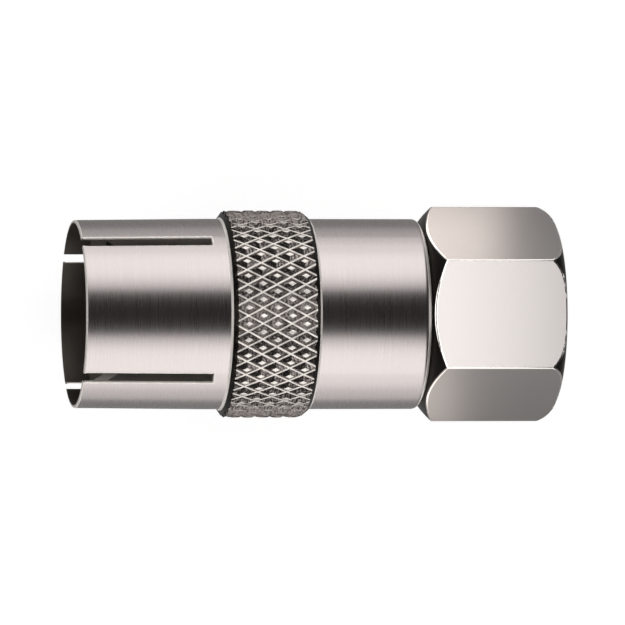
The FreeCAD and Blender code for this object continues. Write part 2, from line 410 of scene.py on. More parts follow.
def slot_columns(openings, sides, per_finger):
    """Columns of a slotted wall as (side, its turn at a radius). Between two slots the side is None."""
    columns = []
    for number, opening in enumerate(openings):
        for side in sides:
            columns.append((side, lambda r, o=opening, s=side: turn_beside(o, s, r)))
        turn, offset = openings[(number + 1) % len(openings)]
        following = (turn + 360 if number + 1 == len(openings) else turn, offset)
        for step in range(1, per_finger):

            def between(r, near=opening, far=following, share=step / per_finger):
                start = turn_beside(near, sides[-1], r)
                return start + share * (turn_beside(far, sides[0], r) - start)

            columns.append((None, between))
    return columns


def edge_drop(past_side, past_end, edge):
    """How far a slot's rounded edge lies under the surface, at a distance past its side and its end."""
    distance = min(math.hypot(max(past_side, 0.0), max(past_end, 0.0)), edge)
    return edge - math.sqrt(max(edge**2 - (edge - distance)**2, 0.0))


def slotted(profile, marks, outer, inner, openings, width, edge, per_finger):
    """Turns a closed profile that is cut by slots. The profile starts at the slots' end on the outside,
    goes to the mouth, and comes back inside: outer is how many of its points lie beside the slot on the
    outside, edge rounding included, and inner is the index of the slot's end inside. openings holds
    (turn, offset) of each cut in the wall, in order of turn."""
    half = width / 2
    shares = EDGE_SHARES + (0.0,)
    sides = [-half - edge * s for s in shares] + [half + edge * s for s in reversed(shares)]
    columns = slot_columns(openings, sides, per_finger)
    slot_first = len(EDGE_SHARES)
    slot_end = profile[slot_first][0]
    points = []
    for side, turn_at in columns:
        for index, (x, radius) in enumerate(profile):
            turn, r = turn_at(radius), radius
            if side is not None and index < outer:
                r -= edge_drop(abs(side) - half, x - slot_end, edge)
            points.append((x, r * math.sin(turn), r * math.cos(turn)))
    count = len(profile)
    faces = []
    for j, (side, turn_at) in enumerate(columns):
        k = (j + 1) % len(columns)
        next_side = columns[k][0]
        in_slot = side == -half and next_side == half
        beside_slot = side is not None and next_side is not None
        for i, finish in enumerate(marks):
            if in_slot and slot_first <= i < inner:
                continue
            n = (i + 1) % count
            # Faces on a slot's rounded edge take the pale second finish: a painted highlight
            if beside_slot and i < outer and finish == PLATING:
                finish = PAINTED_HIGHLIGHT
            faces.append((finish, (j * count + i, k * count + i, k * count + n, j * count + n)))
        if in_slot:
            near, far = j * count, k * count
            for wall in (near, far):
                faces.append((SAWN, tuple(wall + i for i in range(slot_first, inner + 1))))
            faces.append((SAWN, (near + slot_first, far + slot_first, far + inner, near + inner)))
    return points, faces


# Meshes and objects

def new_mesh(name, points, faces, materials):
    """A mesh from points in millimetres and faces of (finish, corners)."""
    mesh = bpy.data.meshes.new(name)
    mesh.from_pydata([tuple(c * MM for c in p) for p in points], [], [f[1] for f in faces])
    for polygon, face in zip(mesh.polygons, faces):
        polygon.material_index = face[0]
    for material in materials:
        mesh.materials.append(material)
    return mesh


def in_scene(name, data):
    """An object in the scene, of that mesh, lamp or camera."""
    item = bpy.data.objects.new(name, data)
    bpy.context.scene.collection.objects.link(item)
    return item


def reshaped(mesh, change):
    """Runs a change on a mesh as a bmesh."""
    work = bmesh.new()
    work.from_mesh(mesh)
    change(work)
    work.to_mesh(mesh)
    work.free()


def face_outwards(work):
    bmesh.ops.recalc_face_normals(work, faces=work.faces)


def merge_and_face_outwards(work):
    same_point = 0.0002
    bmesh.ops.remove_doubles(work, verts=work.verts, dist=same_point * MM)
    face_outwards(work)


def part_finishes(work):
    """Keeps the shading of one finish from running into the next."""
    for edge in work.edges:
        if len({face.material_index for face in edge.link_faces}) > 1:
            edge.smooth = False


def shade(mesh, sharp_angle=SHARP_CUT):
    """Shades a mesh smooth up to its sharp edges."""
    for polygon in mesh.polygons:
        polygon.use_smooth = True
    mesh.set_sharp_from_angle(angle=math.radians(sharp_angle))


def dress(piece, body, replaced):
    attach(piece, body)
    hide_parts(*replaced)


def turned(name, points, faces, materials, body, replaced):
    """Makes a turned piece."""
    mesh = new_mesh(name, points, faces, materials)
    reshaped(mesh, merge_and_face_outwards)
    shade(mesh, SHARP_TURNED)
    dress(in_scene(name, mesh), body, replaced)


def solid(name, points, faces, materials):
    """A helper in the scene, to cut or to be cut."""
    mesh = new_mesh(name, points, faces, materials)
    reshaped(mesh, face_outwards)
    return in_scene(name, mesh)


def intersect(item, tool):
    """Keeps what an object shares with the tool."""
    cut = item.modifiers.new("cut", "BOOLEAN")
    cut.operation, cut.solver, cut.object = "INTERSECT", "EXACT", tool


def applied(item, name):
    """The plain mesh that an object with live modifiers gives. The object goes."""
    bpy.context.view_layer.update()
    graph = bpy.context.evaluated_depsgraph_get()
    mesh = bpy.data.meshes.new_from_object(item.evaluated_get(graph))
    bpy.data.objects.remove(item)
    mesh.name = name
    return mesh


def new_geometry_tree(name, inputs):
    """A geometry tree with named inputs, and the node that gives them."""
    tree = bpy.data.node_groups.new(name, "GeometryNodeTree")
    add_socket = tree.interface.new_socket
    add_socket("Geometry", in_out="INPUT", socket_type="NodeSocketGeometry")
    for label, kind in inputs.items():
        add_socket(label, in_out="INPUT", socket_type="NodeSocket" + kind)
    add_socket("Geometry", in_out="OUTPUT", socket_type="NodeSocketGeometry")
    return tree, tree.nodes.new("NodeGroupInput")


def grown(tree, last, values):
    """An object with the plain mesh that a geometry tree gives for those values of its inputs."""
    result = tree.nodes.new("NodeGroupOutput")
    tree.links.new(last.outputs[0], result.inputs[0])
    holder = in_scene(tree.name, bpy.data.meshes.new(tree.name))
    modifier = holder.modifiers.new(tree.name, "NODES")
    modifier.node_group = tree
    for socket in tree.interface.items_tree:
        if socket.name in values:
            modifier[socket.identifier] = values[socket.name]
    return in_scene(tree.name, applied(holder, tree.name))


# The pieces

class ADAPTER_OT_body(bpy.types.Operator):
    """Make the barrel and the tail, one turned piece with four sawn slots"""
    bl_idname = "adapter.body"
    bl_label = "Turned body"

    def execute(self, context):
        s = context.scene.adapter_body
        outside = self.outside(s)
        profile, marks = joined(
            [(outside, PLATING)] + self.socket(s, context.scene.adapter_inside) + self.tail(s))
        inner = profile.index((s.slot_length, s.bore_radius))
        per_finger = 64
        points, faces = slotted(
            profile, marks, len(outside), inner, self.openings(), s.slot_width, s.slot_edge, per_finger)
        turned(
            "outer_body_turned", points, faces, body_finishes(context.scene), "adapter",
            ["outer_body"])
        return {"FINISHED"}

    def openings(self):
        """The four openings of two cuts straight across the barrel, each a little off the axis."""
        openings = []
        for turn, offset in ((-40.05, -0.23), (50.9, -0.1)):
            openings += [(turn, offset), (turn + 180, -offset)]
        return sorted(openings)

    def outside(self, s):
        """The barrel's outside from past the slots' end to the mouth. The fingers close towards their
        tips."""
        stations, short_of_rim = 10, 0.06
        start, end = s.slot_length, s.mouth_round + short_of_rim
        points = [(start + s.slot_edge * share, s.body_radius) for share in EDGE_SHARES]
        for station in range(stations + 1):
            share = station / stations
            points.append((start + share * (end - start), s.body_radius - share * s.finger_closing))
        return points

    def socket(self, s, inside):
        """The mouth's rim, the relief behind it, and the bores from there to the tail's end."""
        relief_slope = 0.76
        mouth_radius = s.body_radius - s.finger_closing
        relief_radius = mouth_radius - s.rim_wall
        rim = arc(s.mouth_round, mouth_radius - s.mouth_round, s.mouth_round, 90, 180, 6)
        bores = [
            (0.0, relief_radius),
            (s.relief_depth, relief_radius),
            (s.relief_depth + relief_slope, s.bore_radius - s.finger_closing),
            (s.slot_length, s.bore_radius),
            (inside.socket_bead_end, s.bore_radius),
            (inside.socket_bead_end, s.web_bore),
            (inside.ferrule_start, s.web_bore),
            (inside.ferrule_start, inside.ferrule_radius),
            (s.body_end, inside.ferrule_radius),
        ]
        # The rim's rounding takes the pale edge finish, a painted highlight; the bores take the bore finish,
        # a painted shade
        return [(rim, PAINTED_HIGHLIGHT), (bores, BORE)]

    def tail(self, s):
        """The tail's end face, shoulder and outside, and the foot at both ends of the grip, under which the
        body runs on."""
        radius, rounding = s.body_radius, s.shoulder_round
        grip_start, grip_end = s.barrel_length, s.barrel_length + s.grip_width
        face_ring, foot, foot_rise, tucked, sunk = 0.12, 0.13, 0.091, 0.05, 0.1
        shoulder = arc(s.body_end - rounding, radius - rounding, rounding, 0, 90, 10)
        under_grip = [
            (grip_end, radius + foot_rise), (grip_end - tucked, radius - sunk),
            (grip_start + tucked, radius - sunk),
        ]
        # The end face's ring takes painted shade, and the shoulder's middle and the foot at each end of the
        # grip the pale edge finish, a painted highlight
        return [
            ([(s.body_end, radius - rounding - face_ring)] + shoulder[:2], SHADOW),
            (shoulder[2:7], PAINTED_HIGHLIGHT),
            (shoulder[7:], PLATING),
            ([(grip_end + foot, radius)], PAINTED_HIGHLIGHT),
            (under_grip, PLATING),
            ([(grip_start, radius + foot_rise)], PAINTED_HIGHLIGHT),
            ([(grip_start - foot, radius)], PLATING),
        ]


class ADAPTER_OT_knurl(bpy.types.Operator):
    """Make the knurled grip from one pyramid, repeated in crossed helical rows"""
    bl_idname = "adapter.knurl"
    bl_label = "Knurled grip"

    def execute(self, context):
        k = context.scene.adapter_knurl
        b = context.scene.adapter_body
        start, end = b.barrel_length, b.barrel_length + b.grip_width
        materials = knurl_finishes(context.scene)
        pyramid = self.pyramid(k, materials)
        shell = self.repeat(pyramid, k, (start + end) / 2, b.grip_width, materials)
        reshaped(shell.data, self.close)
        outline = self.outline(b, k, start, end, materials)
        intersect(outline, shell)
        mesh = applied(outline, "grip_knurled")
        for helper in (pyramid, shell):
            bpy.data.objects.remove(helper)
        low, high = start + k.barrel_chamfer, end - k.tail_margin
        reshaped(mesh, lambda work: self.paint_shade_at_ends(work, low, high))
        shade(mesh)
        reshaped(mesh, part_finishes)
        dress(in_scene("grip_knurled", mesh), "adapter", ["outer_body"])
        return {"FINISHED"}

    def pyramid(self, k, materials):
        """One pyramid at turn 0 and x = 0, as rings of points from the groove up to the blunt tip. A ring is
        (share of the width, share of the height)."""
        row_gap, half_turn, root = k.pitch / 2, math.pi / k.teeth, k.grip_radius - k.depth
        rings = [
            (1.0, 0.0),
            (1.0 - k.groove_share / 2, 0.02),
            (1.0 - k.groove_share, 0.09),
            (k.tip_share + 0.05, 0.94),
            (k.tip_share, 0.99),
            (k.tip_share * 0.7, 1.0),
        ]
        flank = 2
        points, faces = [], []
        corners = ((1, 0), (0.5, 0.5), (0, 1), (-0.5, 0.5), (-1, 0), (-0.5, -0.5), (0, -1), (0.5, -0.5))
        per_ring = len(corners)
        for width, height in rings:
            radius = root + height * k.depth
            for u, v in corners:
                turn = v * width * half_turn
                points.append((u * width * row_gap, radius * math.sin(turn), radius * math.cos(turn)))
        for ring in range(len(rings) - 1):
            for corner in range(per_ring):
                following = (corner + 1) % per_ring
                a, b = ring * per_ring + corner, ring * per_ring + following
                # Tips and groove bottoms take the pale ridge finish, a painted highlight; the flanks take
                # the darker flank finish, a painted shade
                finish = PLATING if ring == flank else PAINTED_HIGHLIGHT
                faces.append((finish, (a, b, b + per_ring, a + per_ring)))
        top = (len(rings) - 1) * per_ring
        points.append((0.0, 0.0, root + k.depth))
        for corner in range(per_ring):
            faces.append((PAINTED_HIGHLIGHT, (top + corner, top + (corner + 1) % per_ring, len(points) - 1)))
        return in_scene("pyramid", new_mesh("pyramid", points, faces, materials))

    def repeat(self, pyramid, k, middle, width, materials):
        """Stands the pyramid round the axis with Geometry Nodes, odd rows half a pitch round. The rows reach
        past both ends of the grip."""
        row_gap, past_rounding = k.pitch / 2, 0.25
        rows = 2 * math.ceil(width / 2 / row_gap + 0.5) + 1
        same_point = 0.0005 * MM
        tree, given = new_geometry_tree("knurl_shell", {
            "Pyramid": "Object", "Teeth": "Int", "Rows": "Int", "Row Gap": "Float", "Middle": "Float",
            "Turn": "Float", "Flank": "Material", "Ridge": "Material",
        })

        def maths(operation, a, b=0.0):
            return (add_node(tree, "ShaderNodeMath", {"operation": operation}, n0=a, n1=b), 0)

        total = maths("MULTIPLY", (given, "Teeth"), (given, "Rows"))
        spots = add_node(tree, "GeometryNodeMeshLine", Count=total)
        index = (tree.nodes.new("GeometryNodeInputIndex"), 0)
        row = maths("FLOOR", maths("DIVIDE", maths("ADD", index, past_rounding), (given, "Teeth")))
        tooth = maths("FLOORED_MODULO", index, (given, "Teeth"))
        half_rows = maths("MULTIPLY", maths("SUBTRACT", (given, "Rows"), 1.0), 0.5)
        from_middle = maths("SUBTRACT", row, half_rows)
        x = maths("ADD", (given, "Middle"), maths("MULTIPLY", from_middle, (given, "Row Gap")))
        odd = maths("FLOORED_MODULO", from_middle, 2.0)
        steps = maths("ADD", maths("MULTIPLY", tooth, 2.0), odd)
        round_by = maths("DIVIDE", maths("MULTIPLY", steps, math.pi), (given, "Teeth"))
        turn = maths("ADD", (given, "Turn"), round_by)
        place = add_node(tree, "ShaderNodeCombineXYZ", X=x)
        spin = add_node(tree, "ShaderNodeCombineXYZ", X=maths("MULTIPLY", turn, -1.0))
        moved = add_node(tree, "GeometryNodeSetPosition", Geometry=(spots, 0), Position=(place, 0))
        shape = add_node(tree, "GeometryNodeObjectInfo", Object=(given, "Pyramid"))
        copies = add_node(
            tree, "GeometryNodeInstanceOnPoints", Points=(moved, 0), Instance=(shape, "Geometry"),
            Rotation=(spin, 0))
        real = add_node(tree, "GeometryNodeRealizeInstances", Geometry=(copies, 0))
        whole = add_node(tree, "GeometryNodeMergeByDistance", Geometry=(real, 0), Distance=same_point)
        finish = (tree.nodes.new("GeometryNodeInputMaterialIndex"), 0)
        ridges = add_node(
            tree, "GeometryNodeSetMaterial", Geometry=(whole, 0),
            Selection=maths("GREATER_THAN", finish, 0.5), Material=(given, "Ridge"))
        flanks = add_node(
            tree, "GeometryNodeSetMaterial", Geometry=(ridges, 0),
            Selection=maths("LESS_THAN", finish, 0.5), Material=(given, "Flank"))
        return grown(tree, flanks, {
            "Pyramid": pyramid, "Teeth": k.teeth, "Rows": rows, "Row Gap": row_gap * MM,
            "Middle": middle * MM, "Turn": k.turn, "Flank": materials[PLATING], "Ridge": materials[PAINTED_HIGHLIGHT],
        })

    def close(self, work):
        """Closes the two open ends of the knurled tube on the axis."""
        rim = [e for e in work.edges if e.is_boundary]
        middle = sum(v.co.x for v in work.verts) / len(work.verts)
        for side in (-1, 1):
            edges = [e for e in rim if (e.verts[0].co.x - middle) * side > 0]
            x = sum(e.verts[0].co.x for e in edges) / len(edges)
            centre = work.verts.new((x, 0.0, 0.0))
            for edge in edges:
                work.faces.new((edge.verts[0], edge.verts[1], centre))
        face_outwards(work)

    def paint_shade_at_ends(self, work, low, high):
        """Paints shade near both ends of the knurl: there the faces take the near-black chamfer finish."""
        on_plane = 0.0001 * MM
        for x in (low, high):
            everything = work.verts[:] + work.edges[:] + work.faces[:]
            bmesh.ops.bisect_plane(
                work, geom=everything, plane_co=(x * MM, 0, 0), plane_no=(1, 0, 0), dist=on_plane)
        for face in work.faces:
            x = face.calc_center_median().x / MM
            if x < low or x > high:
                face.material_index = SHADOW

    def outline(self, b, k, start, end, materials):
        """The grip without its knurl: a ring with a chamfer at each end, just clear of the tips."""
        around, clear, sunk = 256, 0.001, 0.3
        side = k.grip_radius - k.chamfer_depth
        core = b.body_radius - sunk
        rim = k.grip_radius + clear
        profile, marks = joined([
            ([(start, core), (start, side)], SHADOW),
            ([(start + k.barrel_chamfer, rim)], PLATING),
            ([(end - k.tail_chamfer, rim), (end, side), (end, core)], SHADOW),
        ])
        return solid("grip_outline", *revolve(profile, marks, around), materials)


class ADAPTER_OT_nut(bpy.types.Operator):
    """Make the hexagon coupling nut and its thread"""
    bl_idname = "adapter.nut"
    bl_label = "Coupling nut"

    def execute(self, context):
        n = context.scene.adapter_nut
        materials = nut_finishes(context.scene)
        self.hexagon(n, materials)
        self.thread(n, materials)
        return {"FINISHED"}

    def hexagon(self, n, materials):
        """A turned blank with both chamfers and the bores, cut to six flats."""
        back, front = n.back, n.back + n.length
        past_corner, overhang, sliver = 0.05, 1.0, 0.045
        corner = n.across_flats / math.sqrt(3)
        reach = corner + past_corner
        back_chamfer = (reach - n.back_radius) * math.tan(n.back_angle)
        lead_end = front - n.lead_in - n.thread_minor_radius + n.thread_major_radius
        crowned = self.crowned(n, front, reach)
        profile, marks = joined([
            ([(back, n.neck_radius)], PLATING),
            ([(back, n.back_radius)], SHADOW),
            ([(back + back_chamfer, reach)], PLATING),
            (crowned[:-1], SHADOW),
            ([crowned[-1], (front, n.thread_minor_radius + n.lead_in), (lead_end, n.thread_major_radius)],
             PLATING),
            ([(n.thread_start, n.thread_major_radius), (n.thread_start, n.undercut_radius),
              (n.seat, n.undercut_radius), (n.seat, n.neck_radius)], BORE),
        ])
        blank = solid("nut_blank", *revolve(profile, marks), materials)
        turns = [math.radians(30 + 60 * k) for k in range(6)]
        corners = [
            (x, corner * math.sin(t), corner * math.cos(t)) for x in (back - overhang, front + overhang)
            for t in turns
        ]
        sides = [(PLATING, (k, (k + 1) % 6, (k + 1) % 6 + 6, k + 6)) for k in range(6)]
        sides += [(PLATING, tuple(range(6))), (PLATING, tuple(range(6, 12)))]
        prism = solid("nut_prism", corners, sides, materials)
        intersect(blank, prism)
        weld = blank.modifiers.new("weld", "WELD")
        weld.merge_threshold = sliver * MM
        mesh = applied(blank, "coupling_nut_hexagon")
        bpy.data.objects.remove(prism)
        reshaped(mesh, lambda work: self.break_edges(work, n))
        shade(mesh)
        reshaped(mesh, part_finishes)
        dress(in_scene("coupling_nut_hexagon", mesh), "nut", ["coupling_nut"])

    def crowned(self, n, front, reach):
        """The front chamfer from its outer end inwards, bowed out between its two ends."""
        steps = 6
        run = (reach - n.front_radius) * math.tan(n.front_angle)
        points = []
        for step in range(steps, -1, -1):
            share = step / steps
            bowed = share + n.front_crown * (share**3 - share)
            points.append((front - run * bowed, n.front_radius + (reach - n.front_radius) * share))
        return points

    def break_edges(self, work, n):
        """Rounds the borders of the six flats a little, and gives the rounding the pale corner finish, a
        painted highlight.
        """
        upright, near_flat, least_crease = 0.01, 0.98, 0.3
        reach = n.across_flats / 2 * MM

        def is_flat(face):
            centre = face.calc_center_median()
            return abs(face.normal.x) < upright and math.hypot(centre.y, centre.z) > reach * near_flat

        flats = {face for face in work.faces if face.material_index == PLATING and is_flat(face)}
        borders = []
        for edge in work.edges:
            beside_flat = len(edge.link_faces) == 2 and flats.intersection(edge.link_faces)
            if beside_flat and edge.calc_face_angle() > least_crease:
                borders.append(edge)
        bmesh.ops.bevel(
            work, geom=borders, offset=n.edge_width * MM, segments=2, profile=0.5, affect="EDGES",
            clamp_overlap=False, material=PAINTED_HIGHLIGHT)

    def thread(self, n, materials):
        """The thread's ridge: a trapezoid swept along a helix, trimmed by the undercut and the lead-in."""
        overrun, sunk, crest_share, root_share = 0.4, 0.04, 0.25, 0.9
        front, start = n.back + n.length, n.thread_start - overrun
        turns = (front + overrun - start) / n.thread_pitch
        depth = n.thread_major_radius - n.thread_minor_radius + sunk
        tree, given = new_geometry_tree("thread_ridge", {
            "Turns": "Float", "Radius": "Float", "Length": "Float", "Depth": "Float", "Crest": "Float",
            "Root": "Float", "Start": "Float", "Finish": "Material",
        })
        helix = add_node(
            tree, "GeometryNodeCurveSpiral", Resolution=72, Rotations=(given, "Turns"),
            Start_Radius=(given, "Radius"), End_Radius=(given, "Radius"), Height=(given, "Length"),
            Reverse=True)
        upright = add_node(tree, "GeometryNodeSetCurveNormal", {"mode": "Z_UP"}, Curve=(helix, 0))
        section = add_node(
            tree, "GeometryNodeCurvePrimitiveQuadrilateral", {"mode": "TRAPEZOID"}, Offset=0.0,
            Bottom_Width=(given, "Root"), Top_Width=(given, "Crest"), Height=(given, "Depth"))
        inward = add_node(
            tree, "GeometryNodeTransform", Geometry=(section, 0), Rotation=(0.0, 0.0, math.radians(90)))
        swept = add_node(
            tree, "GeometryNodeCurveToMesh", Curve=(upright, 0), Profile_Curve=(inward, 0), Fill_Caps=True)
        start_at = add_node(tree, "ShaderNodeCombineXYZ", X=(given, "Start"))
        laid = add_node(
            tree, "GeometryNodeTransform", Geometry=(swept, 0), Rotation=(0.0, math.radians(90), 0.0),
            Translation=(start_at, 0))
        real = add_node(tree, "GeometryNodeRealizeInstances", Geometry=(laid, 0))
        plated = add_node(tree, "GeometryNodeSetMaterial", Geometry=(real, 0), Material=(given, "Finish"))
        ridge = grown(tree, plated, {
            "Turns": turns, "Radius": (n.thread_minor_radius + depth / 2) * MM,
            "Length": turns * n.thread_pitch * MM, "Depth": depth * MM,
            "Crest": n.thread_pitch * crest_share * MM, "Root": n.thread_pitch * root_share * MM,
            "Start": start * MM, "Finish": materials[PLATING],
        })
        inside_crest, past_root, past_undercut = 0.05, 0.03, 0.02
        low, high = n.thread_minor_radius - inside_crest, n.thread_major_radius + past_root
        lead = front - n.lead_in - n.thread_minor_radius
        foot = n.thread_start + past_undercut
        ring = solid(
            "thread_ring", *revolve([(foot, low), (lead + low, low), (lead + high, high), (foot, high)]),
            materials)
        intersect(ring, ridge)
        mesh = applied(ring, "coupling_nut_thread")
        bpy.data.objects.remove(ridge)
        shade(mesh)
        dress(in_scene("coupling_nut_thread", mesh), "nut", ["coupling_nut"])


class ADAPTER_OT_inside(bpy.types.Operator):
    """Make the ferrule, the contact, the pin and the two beads"""
    bl_idname = "adapter.inside"
    bl_label = "Ferrule, contact, pin and beads"

    def execute(self, context):
        s = context.scene.adapter_inside
        plated, white = finishes(context.scene, "contact_plating", "polyethylene")
        lip_length, set_back = 0.8, 0.1
        lip, flush = s.ferrule_end - lip_length, s.ferrule_end - set_back
        self.ferrule(s, lip, body_finishes(context.scene))
        self.socket_bead(s, [white])
        self.plug_bead(s, lip, flush, [white])
        self.pin(s, flush, [plated])
        # The contact's slot faces take the bore finish, a painted shade
        self.contact(s, [plated, plated] + finishes(context.scene, "bore_nickel") * 3)
        return {"FINISHED"}

    def ferrule(self, s, lip, materials):
        lead, nose, soft = 0.3, 0.15, 0.02
        points, faces = revolve([
            (s.ferrule_start, s.ferrule_bore), (s.ferrule_start, s.ferrule_radius - lead),
            (s.ferrule_start + lead, s.ferrule_radius), (s.flange_start, s.ferrule_radius),
            (s.flange_start, s.flange_radius - nose), (s.flange_start + nose, s.flange_radius),
            (s.ferrule_end - nose, s.flange_radius), (s.ferrule_end, s.flange_radius - nose),
            (s.ferrule_end, s.lip_bore + soft), (s.ferrule_end - soft, s.lip_bore),
            (lip, s.lip_bore), (lip, s.ferrule_bore),
        ])
        turned("ferrule_turned", points, faces, materials, "adapter", ["ferrule"])

    def socket_bead(self, s, materials):
        """The disc, with a shallow round groove in its front face."""
        groove_depth, groove_low, groove_high, soft, chamfer = 0.5, 2.4, 3.3, 0.06, 0.2
        face, back, radius = s.socket_bead_start, s.socket_bead_end, s.socket_bead_radius
        floor = face + groove_depth
        points, faces = revolve([
            (face, s.contact_bore), (face, groove_low - soft), (face + soft, groove_low),
            (floor, groove_low), (floor, groove_high), (face + soft, groove_high),
            (face, groove_high + soft), (face, radius - chamfer), (face + chamfer, radius), (back, radius),
            (back, s.contact_bore),
        ])
        turned("socket_bead_moulded", points, faces, materials, "adapter", ["socket_bead"])

    def plug_bead(self, s, lip, flush, materials):
        around, soft = 96, 0.04
        points, faces = revolve([
            (s.ferrule_start, s.stem_radius), (s.ferrule_start, s.ferrule_bore), (lip, s.ferrule_bore),
            (lip, s.lip_bore), (flush - soft, s.lip_bore), (flush, s.lip_bore - soft),
            (flush, s.stem_radius),
        ], None, around)
        turned("plug_bead_moulded", points, faces, materials, "adapter", ["plug_bead"])

    def pin(self, s, flush, materials):
        """The stem, the thinner pin and its tapered tip, blunt at the end."""
        around, taper, blunt = 64, 0.5, 0.16
        soft_length, soft, nose_length, nose = 0.06, 0.02, 0.04, 0.07
        points, faces = revolve([
            (s.stem_start, 0.0), (s.stem_start, s.stem_radius), (flush, s.stem_radius),
            (flush, s.pin_radius), (s.pin_end - taper, s.pin_radius),
            (s.pin_end - taper + soft_length, s.pin_radius - soft), (s.pin_end - nose_length, blunt + nose),
            (s.pin_end, blunt), (s.pin_end, 0.0),
        ], None, around)
        turned("centre_pin_turned", points, faces, materials, "adapter", ["centre_pin"])

    def contact(self, s, materials):
        """The spring socket, with four slots, a rounded mouth and a drilled stem."""
        soft, mouth, lead, stations, station_gap, per_finger = 0.04, 0.3, 0.25, 5, 1.3, 16
        first_turn, slots = 5.5, 4
        slot_end = s.contact_slot_end
        outside = [(slot_end + soft * share, s.contact_radius) for share in EDGE_SHARES]
        outside += [(slot_end - station_gap * step, s.contact_radius) for step in range(stations)]
        nose = arc(s.contact_start + mouth, s.contact_radius - mouth, mouth, 90, 180, 5)[1:]
        profile = outside + nose + [
            (s.contact_start, s.contact_bore + lead), (s.contact_start + lead, s.contact_bore),
            (slot_end, s.contact_bore), (s.contact_bore_end, s.contact_bore), (s.contact_bore_end, 0.0),
            (s.stem_start, 0.0), (s.stem_start, s.stem_radius), (s.contact_end, s.stem_radius),
            (s.contact_end, s.contact_bore), (s.socket_bead_start, s.contact_bore),
            (s.socket_bead_start, s.contact_radius),
        ]
        marks = [PLATING] * len(profile)
        inner = profile.index((slot_end, s.contact_bore))
        openings = [(first_turn + 360 / slots * k, 0.0) for k in range(slots)]
        points, faces = slotted(
            profile, marks, len(outside), inner, openings, s.contact_slot_width, soft, per_finger)
        turned(
            "socket_contact_turned", points, faces, materials, "adapter",
            ["socket_contact"])


# The studio

